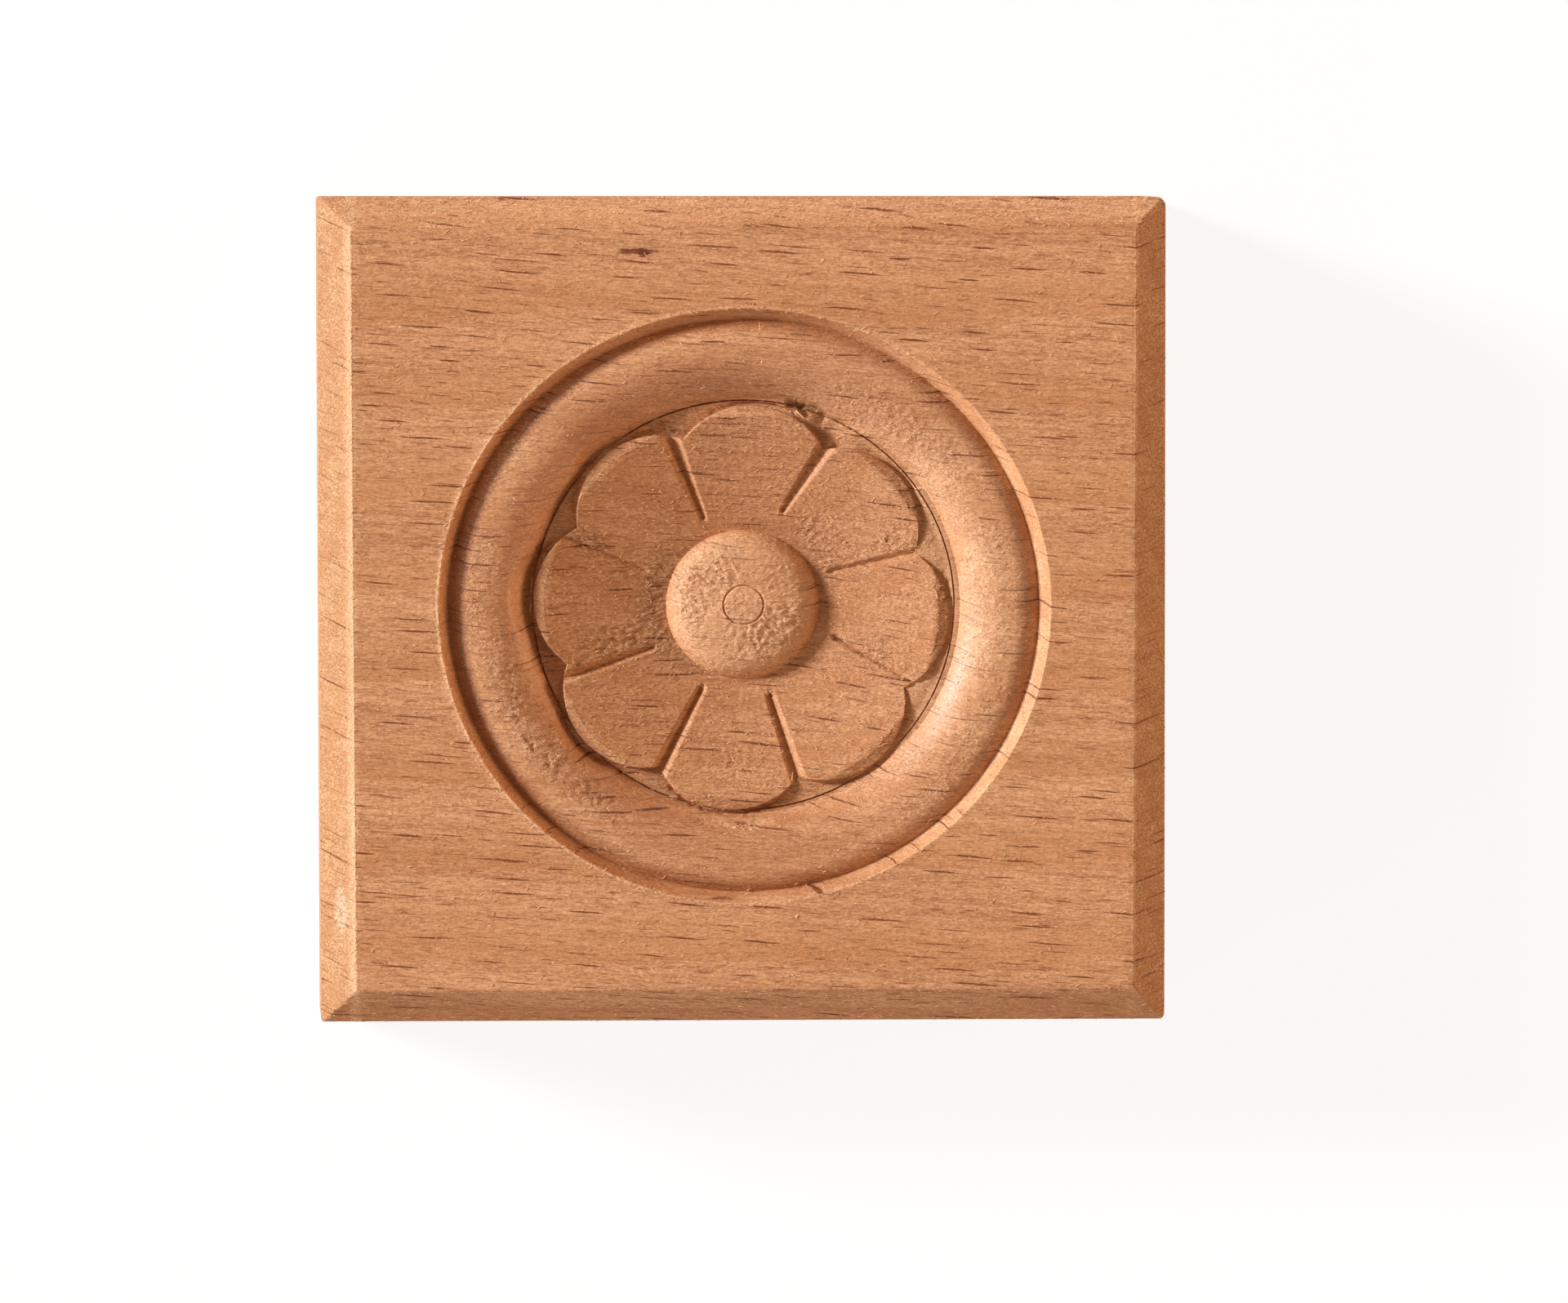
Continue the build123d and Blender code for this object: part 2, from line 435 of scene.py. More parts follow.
for step in grid["burrSteps"]:
    addBevelled(circleRing(t["arris"] + step))
for share in grid["faceRings"]:
    addBevelled(arrisRing + (innerRing - arrisRing) * share)
bevelRings = len(rings)
for share in grid["bevelRings"]:
    addBevelled(innerRing + (outerRing - innerRing) * share)
frontRings = len(rings)

bevelFoot = rings[-1][1]
for share in grid["sideRings"]:
    rings.append((outerRing, bevelFoot * (1 - share)))
backRound, bulge = block["backEdgeRound"], grid["backRound"]
level = np.ones(len(outerRing))
towardsMiddle = -outerRing / np.linalg.norm(outerRing, axis=1)[:, None]
rings.append((outerRing, backRound * level))
rings.append((outerRing + towardsMiddle * backRound * bulge, backRound * bulge * level))
rings.append((outerRing + towardsMiddle * backRound, 0 * level))
for share, step in grid["backRings"]:
    rings.append((outerRing[::step] * share, 0 * level[::step]))
print("block rings", len(rings), "points", sum(len(places) for places, heights in rings))


# Adds faces between two rings, where the second may have half or twice as many points
def stitch(faces, firstA, countA, firstB, countB):
    if countA > countB:
        flipped = []
        stitch(flipped, firstB, countB, firstA, countA)
        faces.extend(tuple(reversed(face)) for face in flipped)
        return
    for i in range(countA):
        a, nextA = firstA + i, firstA + (i + 1) % countA
        if countA == countB:
            b, nextB = firstB + i, firstB + (i + 1) % countB
            faces.append((a, b, nextB, nextA))
        else:
            b = firstB + 2 * i
            middleB, nextB = b + 1, firstB + (2 * i + 2) % countB
            faces.extend(((a, b, middleB), (a, middleB, nextA), (nextA, middleB, nextB)))


def buildBlock():
    places = np.concatenate([places for places, heights in rings])
    heights = np.concatenate([heights for places, heights in rings])
    counts = [len(places) for places, heights in rings]
    firsts = np.concatenate([[0], np.cumsum(counts)[:-1]]).astype(int)
    points = np.concatenate([places, heights[:, None]], axis=1)
    middleFront = len(points)
    middleBack = middleFront + 1
    frontTop = faceHeight - turnedPoints(np.zeros((1, 2)))[0]
    centre = toBlock(np.zeros(2))
    points = np.concatenate([points, [(centre[0], centre[1], frontTop), (0, 0, 0)]])
    faces = []
    for i in range(counts[0]):
        faces.append((middleFront, i, (i + 1) % counts[0]))
    for k in range(len(counts) - 1):
        stitch(faces, int(firsts[k]), counts[k], int(firsts[k + 1]), counts[k + 1])
    for i in range(counts[-1]):
        faces.append((int(firsts[-1]) + i, middleBack, int(firsts[-1]) + (i + 1) % counts[-1]))
    return points, faces, int(firsts[frontRings]), int(firsts[bevelRings]), middleFront


points, faces, frontCount, firstSawn, middleFront = buildBlock()

# Where the cutter tore the grain: angle and radius from the middle, how far it spreads, how much
torn = rows(
    ("angle", "radius", "spread", "width", "amount"),
    (212, 24.8, 24, 1.9, 1.0),
    (178, 26.4, 14, 1.5, 0.6),
    (145, 28.2, 20, 0.7, 0.7),
    (45, 24.2, 22, 2.6, 0.6),
    (3, 25.0, 24, 2.4, 0.5),
    (322, 26.8, 20, 1.2, 0.6),
    (150, 5.0, 55, 2.4, 1.0),
    (315, 4.2, 50, 2.2, 1.0),
    (0, 0.0, 180, 2.4, 0.5),
    (195, 13.5, 8, 3.6, 1.0),
    (180, 9.3, 30, 1.2, 0.8),
    (38, 10.5, 20, 2.0, 0.8),
    (23, 15.5, 4, 3.0, 0.9),
    (340, 15.0, 6, 3.0, 0.7),
    (155, 17.0, 5, 2.0, 0.8),
    (8, 19.9, 8, 0.5, 0.6),
    (20, 18.8, 3, 1.0, 1.0),
    (203, 17.6, 5, 0.9, 0.9),
    (266, 16.5, 10, 2.0, 0.5),
)

# Where the wood broke away: angle, radius, half sizes round and across, depth, how pale it is there
broken = rows(
    ("angle", "radius", "round", "across", "depth", "pale"),
    (71, 21.15, 5.5, 0.7, 0.5, 0.0),
    (76, 21.3, 3.0, 0.5, 0.32, 0.0),
    (262, 22.6, 5.0, 0.5, 0.24, 0.8),
    (269, 22.9, 5.0, 0.45, 0.22, 0.8),
    (274, 22.4, 3.5, 0.4, 0.16, 0.8),
)

# Painted shade in the hollows, over the dish and on the shaded sides, by side and distance from the middle,
# and where painted light and pale wood lighten it
paintedShadeZones = rows(
    ("side", "radii", "amounts"),
    ("round", (7.4, 7.8, 18, 20.8, 21.2, 22), (0, 0.5, 0.35, 0.35, 0.8, 0)),
    ("right", (8, 9, 20, 21), (0, 0.2, 0.2, 0)),
    ("across", (21.5, 22.5, 26, 27.5), (0, 0.7, 0.6, 0)),
    ("left", (27.6, 28.8, 29.5, 29.8, 30.5), (0, 1.5, 1.5, 0.6, 0.3)),
)
# painted light on the right pockets and the right of the ring, and pale torn wood on the boss
paintedLightAndPaleZones = rows(
    ("side", "radii", "amounts"),
    ("round", (0, 6.5, 7.4), (0.25, 0.25, 0)),
    ("right", (20.2, 20.7, 21.3, 21.8), (0, 0.7, 1.0, 0)),
    ("right", (22, 23, 27, 28), (0, 0.15, 0.15, 0)),
)

surface = {
    "paintedShadeEnd": 30.55,  # no painted shade past this radius
    "glossRadii": (7.7, 8.5, 20.8, 21.3, 30.4, 31),
    "glossAmounts": (0.5, 0.2, 0.2, 1, 1, 0),
    "roughRadii": (7.3, 8.2, 20.9, 21.3, 29, 30),  # nothing that was turned is quite smooth
    "roughAmounts": (0.35, 0.16, 0.16, 0.08, 0.06, 0),
    "tearDepth": 0.2,
    "tearScale": 2.6,
    "gapRagged": 0.35,
    "gapEdge": 3,  # how steeply a gap's side falls
    "burrHeight": 0.115,
    "burrWidth": 0.2,
    "burrMiddle": 0.05,  # outside the arris
    "arrisWidth": 0.16,  # how wide the broken line along the arris is
    "leftEdgeWidth": 0.42,
    "rightEdgeWidth": 0.12,
    "rightBevelTorn": 0.55,
    "edgeTorn": 0.9,
    "arrisPale": 0.8,
    "leftEdgePale": 0.7,
    "rightEdgePale": 0.9,
    "pocketPaintedLight": 0.3,
    "paintedLightSide": (1.6, -0.6),  # steepness and start, from the middle to the right
    "noiseScales": {"gap": 2.0, "burr": 1.1, "broad": 0.5, "finer": 1.6, "edge": 1.7, "bevel": 0.9},
    "finerShare": 0.8,
    "patches": {  # middle, swing and lowest share of what comes and goes along the wood
        "burr": (0.7, 1.2, 0),
        "tear": (0.8, 0.8, 0.2),
        "rough": (0.7, 1, 0.3),
        "edge": (0.6, 1.5, 0),
        "bevel": (0.6, 1.2, 0),
    },
}


# How torn the surface is at each point, from 0 to 1
def tornAmount(flat):
    turned = fromBlock(flat)
    radius, angle = reachOf(turned), np.degrees(bearingOf(turned))
    amount = np.zeros(len(flat))
    for patch in torn:
        turn = (angle - patch["angle"] + 180) % 360 - 180
        off = (turn / patch["spread"]) ** 2 + ((radius - patch["radius"]) / patch["width"]) ** 2
        amount = np.maximum(amount, patch["amount"] * np.exp(-0.5 * off**2))
    return amount


# Falls from 1 where the distance is nothing
def near(distance, width):
    return np.exp(-(distance / width) ** 2)


def patchy(kind, waves):
    middle, swing, lowest = surface["patches"][kind]
    return np.clip(middle + swing * waves, lowest, 1)


# The bevels, the sides and the back are sawn, and the rest is turned or planed
front = slice(0, frontCount)
bevels = slice(firstSawn, frontCount)
sawn = np.zeros(len(points))
sawn[firstSawn:] = 1
sawn[middleFront] = 0

turnedPlaces = fromBlock(points[:, :2])
turnedRadius, turnedAngle = reachOf(turnedPlaces), bearingOf(turnedPlaces)
leftSide = 0.5 - 0.5 * np.cos(turnedAngle)
rightSide = np.clip(np.cos(turnedAngle), 0, 1)
sides = {"round": 1, "left": leftSide, "right": rightSide, "across": np.sin(turnedAngle) ** 2}

# positive values are painted shade, negative values are painted light and pale wood
paintedShadingAndPale = np.zeros(len(points))
for zone in paintedShadeZones:
    paintedShadingAndPale += sides[zone["side"]] * np.interp(turnedRadius, zone["radii"], zone["amounts"])
paintedShadingAndPale[turnedRadius > surface["paintedShadeEnd"]] = 0
for zone in paintedLightAndPaleZones:
    paintedShadingAndPale -= sides[zone["side"]] * np.interp(turnedRadius, zone["radii"], zone["amounts"])

# painted light makes the pockets on the right pale
flowerPlaces = turnedPlaces - (flower["x"], flower["y"])
pastPetals = reachOf(flowerPlaces) > petalOutline(bearingOf(flowerPlaces)) + grid["wallFoot"] / 2
inPocket = pastPetals & (turnedRadius < turning["line"] + turning["kerfWidth"])
steep, start = surface["paintedLightSide"]
paintedLitPocket = np.clip(steep * rightSide + start, 0, 1) * inPocket
paintedShadingAndPale = paintedShadingAndPale * (1 - paintedLitPocket) - surface["pocketPaintedLight"] * paintedLitPocket
paintedShadingAndPale[frontCount:] = 0

gloss = np.interp(turnedRadius, surface["glossRadii"], surface["glossAmounts"])
gloss[firstSawn:] = 0
roughHere = np.interp(turnedRadius[front], surface["roughRadii"], surface["roughAmounts"])

scales = surface["noiseScales"]
tear = np.zeros(len(points))
tear[front] = tornAmount(points[front, :2])
for gap in broken:
    turn = (np.degrees(turnedAngle) - gap["angle"] + 180) % 360 - 180
    off = np.hypot(turn / gap["round"], (turnedRadius - gap["radius"]) / gap["across"])
    off = off + surface["gapRagged"] * layeredNoise(points, scales["gap"])
    inside = np.clip((1 - off) * surface["gapEdge"], 0, 1)
    inside[frontCount:] = 0
    points[:, 2] -= gap["depth"] * inside
    paintedShadingAndPale -= gap["pale"] * inside
    tear = np.maximum(tear, inside)
ragged = layeredNoise(points[front], surface["tearScale"], (0.6, 1, 1))

# a burr stands along the left half of the arris
fromArris = turnedRadius - turning["arris"] - surface["burrMiddle"]
burr = near(fromArris, surface["burrWidth"]) * leftSide
burr[frontCount:] = 0
points[:, 2] += surface["burrHeight"] * burr * patchy("burr", layeredNoise(points, scales["burr"]))
broad = layeredNoise(points[front], scales["broad"])
tear[front] = tear[front] * patchy("tear", broad)
tear[front] = np.maximum(tear[front], roughHere * patchy("rough", broad))
finer = layeredNoise(points[front], surface["tearScale"] * scales["finer"], (0.6, 1, 1))
points[front, 2] -= surface["tearDepth"] * tear[front] * (ragged + surface["finerShare"] * finer)

# the arris and the inner edges of the left and right bevels are broken and pale
arrisEdge = near(fromArris, surface["arrisWidth"]) * leftSide
leftLine, rightLine = (
    points[:, 0] - np.interp(points[:, 1], innerCorners[ends, 1], innerCorners[ends, 0])
    for ends in ((0, 3), (1, 2)))
leftEdge = near(leftLine, surface["leftEdgeWidth"])
rightEdge = near(rightLine, surface["rightEdgeWidth"]) * patchy("edge", layeredNoise(points, scales["edge"]))
onRight = (rightLine > 0.1) * patchy("bevel", layeredNoise(points, scales["bevel"]))
for part, share, where in (
        (front, surface["edgeTorn"], arrisEdge), (bevels, surface["edgeTorn"], leftEdge),
        (bevels, surface["rightBevelTorn"], onRight)):
    tear[part] = np.maximum(tear[part], share * where[part])
paintedShadingAndPale[front] -= surface["arrisPale"] * arrisEdge[front]
paintedShadingAndPale[front] -= surface["rightEdgePale"] * rightEdge[front]
paintedShadingAndPale[bevels] -= surface["leftEdgePale"] * leftEdge[bevels]

# Loose fibres, so many to the square millimetre
fibres = {
    "onFace": 0.35,
    "onRing": 0.5,
    "onPetals": 1.2,
    "onBevel": 1.2,
    "onLeftBevel": 1.8,
    "onTopBevel": 4.0,
    "whereTorn": 4.0,
    "alongArris": 9.0,
    "alongEdge": 5.0,
    "length": 0.38,
    "width": 0.06,
    "curl": 0.3,
    "lift": 16,  # degrees, at most
    "swing": 50,  # degrees to either side of the grain
    "roll": 1.2,
    "lengths": (0.35, 1.25),  # shares
    "widths": (0.6, 1.2),
    "heights": (0.6, 1.0),
    "taper": 0.75,
    "seed": 7,
    "colour": (0.9, 0.59, 0.35),
    "colourScales": (1.2, 2.5, 2.5),
    "grain": {"Ray Tilt": 0.4, "Grain Slope": 0.04, "Waviness": 0.5},
    "roughness": 0.6,
}

# how many loose fibres stand on a square millimetre
onFront = np.arange(len(points)) < frontCount
onBevel = onFront & (sawn > 0)
fuzz = np.where(onFront, fibres["onFace"], 0.0)
fuzz[onFront & (turnedRadius < turning["groove"])] = fibres["onRing"]
fuzz[onFront & (turnedRadius < turning["line"])] = fibres["onPetals"]
fuzz[onBevel] = fibres["onBevel"]
fuzz[onBevel & (points[:, 0] < innerCorners[(0, 3), 0].max())] = fibres["onLeftBevel"]
fuzz[onBevel & (points[:, 1] > innerCorners[2:, 1].min())] = fibres["onTopBevel"]
fuzz += fibres["whereTorn"] * tear * (onFront & (sawn == 0))
fuzz += fibres["alongArris"] * arrisEdge * onFront
fuzz += fibres["alongEdge"] * leftEdge * onBevel

blockMesh = newMesh("rosetteWood", (points * mm).tolist(), faces)
painted = {"tear": tear, "sawn": sawn, "paintedShadingAndPale": paintedShadingAndPale, "gloss": gloss, "fuzz": fuzz}
for label, values in painted.items():
    attribute = blockMesh.attributes.new(label, "FLOAT", "POINT")
    attribute.data.foreach_set("value", values.astype(np.float32))
blockMesh.shade_smooth()
blockMesh.set_sharp_from_angle(angle=math.radians(grid["sharpAngle"]))
rosette = addObject("rosetteWood", blockMesh)
print("block mesh", len(points), "points", sum(len(face) - 2 for face in faces), "triangles")


view = {
    "scale": 12.26,  # photo pixels for each millimetre of the face
    "width": 1920,
    "height": 1596,
    "blockX": 910.5,  # photo pixel of the block's middle
    "blockY": 747.5,
    "distance": 1.2,
    "left": 0.045,  # how far the camera stands to the left and up, as a share of its distance
    "up": 0.04,
    "sensor": 36,
}
camera = bpy.data.cameras.new("camera")
cameraHolder = addObject("camera", camera)


# The place on the block's face that a photo pixel shows
def facePlace(pixelX, pixelY):
    across, up = pixelX - view["blockX"], view["blockY"] - pixelY
    return Vector((across / view["scale"] * mm, up / view["scale"] * mm, blockHigh.z))


distance = view["distance"]
cameraHolder.location = (-view["left"] * distance, view["up"] * distance, blockHigh.z + distance)
away = cameraHolder.location - facePlace(view["width"] / 2, view["height"] / 2)
backward = away.normalized()
rightward = Vector((0, 1, 0)).cross(backward).normalized()
upward = backward.cross(rightward)
cameraHolder.rotation_mode = "QUATERNION"
cameraHolder.rotation_quaternion = Matrix((rightward, upward, backward)).transposed().to_quaternion()
camera.sensor_width = view["sensor"]
camera.lens = view["sensor"] * away.length / (view["width"] / view["scale"] * mm)
camera.clip_start = 0.01
camera.clip_end = 20
bpy.context.scene.camera = cameraHolder
bpy.context.scene.view_settings.view_transform = "Standard"


def feed(tree, socket, value):
    if isinstance(value, bpy.types.NodeSocket):
        tree.links.new(value, socket)
    else:
        socket.default_value = value


def feedAll(tree, node, feeds):
    for name, value in feeds.items():
        feed(tree, node.inputs[name], value)


def put(tree, kind, feeds=None, **settings):
    node = tree.nodes.new(kind)
    for name, value in settings.items():
        setattr(node, name, value)
    feedAll(tree, node, feeds or {})
    return node


# A new node's first output
def result(tree, kind, feeds=None, **settings):
    return put(tree, kind, feeds, **settings).outputs[0]


def calc(tree, operation, *values, clamp=False):
    return result(tree, "ShaderNodeMath", dict(enumerate(values)), operation=operation, use_clamp=clamp)


def times(tree, first, second, clamp=False):
    return calc(tree, "MULTIPLY", first, second, clamp=clamp)


def minus(tree, first, second):
    return calc(tree, "SUBTRACT", first, second)


# A value times a share, on top of a base
def addShare(tree, value, share, base):
    return calc(tree, "MULTIPLY_ADD", value, share, base)


def vectorCalc(tree, operation, *values):
    return result(tree, "ShaderNodeVectorMath", dict(enumerate(values)), operation=operation)


def separate(tree, vector):
    return put(tree, "ShaderNodeSeparateXYZ", {0: vector}).outputs


def combine(tree, x=0.0, y=0.0, z=0.0):
    return result(tree, "ShaderNodeCombineXYZ", {0: x, 1: y, 2: z})


# Maps a value from one range to 0 to 1, with soft ends
def ramp(tree, value, low, high):
    feeds = {"Value": value, "From Min": low, "From Max": high}
    return result(tree, "ShaderNodeMapRange", feeds, interpolation_type="SMOOTHSTEP")


def blend(tree, share, first, second, mode="MIX"):
    node = put(tree, "ShaderNodeMix", {0: share}, data_type="RGBA", blend_type=mode)
    for socket, value in ((node.inputs[6], first), (node.inputs[7], second)):
        feed(tree, socket, value if isinstance(value, bpy.types.NodeSocket) else (*value, 1))
    return node.outputs[2]


def speckle(tree, vector, scales, detail=2.0, roughness=0.5):
    feeds = {"Vector": vectorCalc(tree, "MULTIPLY", vector, scales), "Scale": 1.0, "Detail": detail,
             "Roughness": roughness}
    return put(tree, "ShaderNodeTexNoise", feeds).outputs["Fac"]


# The same, but around nothing
def swinging(tree, vector, scales, detail):
    return minus(tree, speckle(tree, vector, scales, detail), 0.5)


def placeInWood(tree):
    place = put(tree, "ShaderNodeTexCoord").outputs["Object"]
    return result(tree, "ShaderNodeVectorMath", {0: place, "Scale": 1 / mm}, operation="SCALE")


def attributeValue(tree, label):
    return put(tree, "ShaderNodeAttribute", attribute_name=label).outputs["Fac"]


def newMaterial(name):
    material = bpy.data.materials.new(name)
    material.use_nodes = True
    return material, material.node_tree, material.node_tree.nodes["Principled BSDF"]


def emptyTree(owner):
    owner.use_nodes = True
    owner.node_tree.nodes.clear()
    return owner.node_tree


def newGroup(name, kind, inputs, outputs):
    tree = bpy.data.node_groups.new(name, kind)
    for direction, sockets in (("INPUT", inputs), ("OUTPUT", outputs)):
        for label, value in sockets.items():
            tree.interface.new_socket(label, in_out=direction, socket_type="NodeSocket" + value)
    return tree, put(tree, "NodeGroupInput").outputs, put(tree, "NodeGroupOutput").inputs


# How the grain wanders: scales of its long and its short waves, and their shares
waves = {"long": (0.03, 0.06, 0.06), "short": (0.16, 0.3, 0.3), "shortShare": 0.3, "outwardShare": 1.5}


# Places in the wood: X along the grain, Y across the ray sheets, Z across the growth rings
def grainGroup():
    inputs = {"Ray Tilt": "Float", "Grain Slope": "Float", "Waviness": "Float"}
    tree, given, made = newGroup("grainPlaces", "ShaderNodeTree", inputs, {"Grain": "Vector"})
    place = placeInWood(tree)
    x, y, z = separate(tree, place)
    wave = times(tree, swinging(tree, place, waves["long"], 1), given["Waviness"])
    wave = addShare(tree, swinging(tree, place, waves["short"], 1), waves["shortShare"], wave)
    across = addShare(tree, z, given["Ray Tilt"], y)
    across = addShare(tree, x, given["Grain Slope"], across)
    across = calc(tree, "ADD", across, wave)
    outward = minus(tree, z, times(tree, y, given["Ray Tilt"]))
    outward = addShare(tree, wave, waves["outwardShare"], outward)
    tree.links.new(combine(tree, x, across, outward), made["Grain"])
    return tree


rays = {
    "slide": 9.0,  # how far the cells wander along the grain
    "slideScales": (0.0, 0.3, 0.09),
    "lengths": (0.6, 0.4),  # how much they differ, and the least share
    "heights": (0.5, 0.5),
    "tilt": 0.05,
    "ragged": 0.12,
    "raggedScales": (1.5, 6.0, 1.0),
    "soft": 0.06,
    "empty": (0.22, 0.3),  # cells whose dice fall under this hold no ray
}

# Cell length and height, half length and height of the dashes, drift of the cells, how dark the dashes are
rayLayers = rows(
    ("Cell Length", "Cell Height", "Half Length", "Half Height", "Drift", "amount"),
    (8.8, 1.6, 3.3, 0.135, 0.4, 0.95),
    (5.2, 1.1, 1.7, 0.105, 7.7, 0.7),
    (2.8, 0.6, 0.8, 0.07, 15.0, 0.35),
)


# Rays: thin sheets that show as pointed dashes on the face and as lines on the end grain
def rayGroup():
    numbers = ("Cell Length", "Cell Height", "Half Length", "Half Height", "Drift")
    inputs = {"Grain": "Vector", **dict.fromkeys(numbers, "Float")}
    tree, given, made = newGroup("rayFlecks", "ShaderNodeTree", inputs, {"Mask": "Float"})
    x, across, outward = separate(tree, given["Grain"])
    slide = swinging(tree, given["Grain"], rays["slideScales"], 1)
    along = addShare(tree, slide, rays["slide"], x)
    column, row = (
        calc(tree, "ADD", calc(tree, "DIVIDE", value, given[size]), given["Drift"])
        for value, size in ((along, "Cell Length"), (across, "Cell Height")))
    feeds = {"Vector": combine(tree, column, row), "Scale": 1.0, "Randomness": 1.0}
    cells = put(tree, "ShaderNodeTexVoronoi", feeds, voronoi_dimensions="2D").outputs
    middle = separate(tree, cells["Position"])
    dice = put(tree, "ShaderNodeSeparateColor", {0: cells["Color"]}).outputs
    offX = times(tree, minus(tree, column, middle[0]), given["Cell Length"])
    offY = times(tree, minus(tree, row, middle[1]), given["Cell Height"])
    tilt = times(tree, minus(tree, dice[2], 0.5), rays["tilt"])
    offY = addShare(tree, offX, tilt, offY)
    halfLength = times(tree, addShare(tree, dice[0], *rays["lengths"]), given["Half Length"])
    halfHeight = times(tree, addShare(tree, dice[1], *rays["heights"]), given["Half Height"])
    taper = calc(tree, "DIVIDE", offX, halfLength)
    taper = minus(tree, 1.0, times(tree, taper, taper))
    ragged = swinging(tree, given["Grain"], rays["raggedScales"], 2)
    offY = calc(tree, "ABSOLUTE", addShare(tree, ragged, rays["ragged"], offY))
    inside = ramp(tree, minus(tree, times(tree, taper, halfHeight), offY), 0.0, rays["soft"])
    tree.links.new(times(tree, inside, ramp(tree, dice[2], *rays["empty"])), made["Mask"])
    return tree


beech = {
    "grain": {"Ray Tilt": 0.4, "Grain Slope": 0.065, "Waviness": 0.8},
    "pale": (0.855, 0.455, 0.236),
    "deep": (0.4, 0.155, 0.06),
    "ring": (0.56, 0.225, 0.085),
    "ray": (0.17, 0.04, 0.008),
    "endGrain": (0.8, 0.87, 0.86),
    "pore": (0.30, 0.11, 0.04),
    "paleWoodAndPaintedLight": (0.93, 0.545, 0.31),
    "sawMark": (0.44, 0.16, 0.05),
    "paintedShadeColour": (0.72, 0.6, 0.5),
    "broadShare": 0.5,
    "ringSpacing": 3.68,
    "ringStart": 20.3,
    "ringWaver": 0.5,
    "ringRise": (0.3, 0.9),  # a ring darkens slowly and ends at once
    "ringEnd": (1.0, 0.92),
    "ringAmount": 0.4,
    "vesselRange": (0.56, 0.7),
    "vesselAmount": 0.4,
    "endGrainRange": (0.2, 0.85),
    "sawMarkRange": (0.5, 0.38),
    "sawMarkAmount": 0.85,
    "lintRange": (0.55, 0.67),
    "lint": 0.2,
    "lintWhereTorn": 0.65,
    "roughness": 0.62,
    "polished": 0.36,  # where the cutter rubbed the ring smooth
    "specular": 0.25,
    "coat": 0.4,
    "coatRoughness": 0.42,
    "bump": 0.03,  # millimetres
    "rise": {"vessels": -0.6, "fine": 0.8, "lint": 2.8, "tornLint": 8.0, "grit": 1.0, "sawnGrit": 3.0},
}

# Noise in the wood: how fine it is along and across the grain and out from its heart, detail, roughness
figure = {
    "broad": ((0.02, 0.22, 0.25), 2),
    "streak": ((0.06, 1.6, 0.8), 4, 0.6),
    "fine": ((0.6, 5.5, 4.0), 3, 0.65),
    "grit": ((2.2, 6.0, 6.0), 3, 0.75),
    "vessels": ((0.9, 13.0, 9.0), 1),
    "lint": ((2.2, 4.0, 4.0), 3, 0.65),
}

# Streaks along the grain: which noise, from where to where it turns pale, its share
streaks = (("fine", 0.36, 0.64, 0.38), ("streak", 0.34, 0.66, 0.25), ("grit", 0.37, 0.63, 0.42))

# Dark mineral marks and a rubbed patch: middle, half length and half width, colour, amount
stains = rows(
    ("place", "half", "colour", "amount"),
    ((-10.6, 35.85), (1.9, 0.34), (0.16, 0.035, 0.01), 0.9),
    ((-10.0, 35.6), (0.6, 0.4), (0.1, 0.02, 0.006), 0.8),
    ((-3.0, 17.4), (1.3, 0.2), (0.2, 0.05, 0.015), 0.7),
    ((-40.2, -30.0), (0.7, 2.3), (0.85, 0.6, 0.42), 0.6),
)


# A mark whose edge is frayed along the grain
def stainMask(tree, place, frayed, stain):
    off = vectorCalc(tree, "SUBTRACT", place, (*stain["place"], 0))
    off = vectorCalc(tree, "MULTIPLY", off, (1 / stain["half"][0], 1 / stain["half"][1], 0))
    reach = put(tree, "ShaderNodeVectorMath", {0: off}, operation="LENGTH").outputs["Value"]
    reach = addShare(tree, frayed, 1.6, reach)
    return times(tree, ramp(tree, reach, 1.15, 0.7), stain["amount"])


